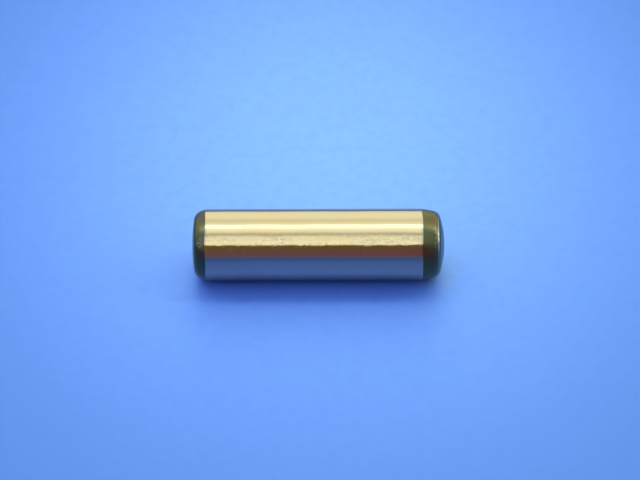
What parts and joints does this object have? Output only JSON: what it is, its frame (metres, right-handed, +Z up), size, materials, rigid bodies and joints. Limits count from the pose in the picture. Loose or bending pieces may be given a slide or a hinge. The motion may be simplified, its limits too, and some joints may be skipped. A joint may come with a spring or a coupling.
{
  "type": "dowel pin",
  "caption": "Plain parallel dowel pin with a ground bright shank, a tapered lead end with a domed crown, and a short rounded end.",
  "frame": {"origin": "middle of the pin's overall length, on its axis", "axes": "+X along the pin's axis, towards the tapered lead end; +Z up with the pin lying down; +Y completes the right-handed frame"},
  "size_m": [0.028, 0.008, 0.008],
  "materials": {
    "hardened_steel": "shank ground bright; both ends keep the dark olive-black skin left by hardening"
  },
  "bodies": {
    "root": {"dowel_pin": "hardened_steel"}
  },
  "joints": []
}
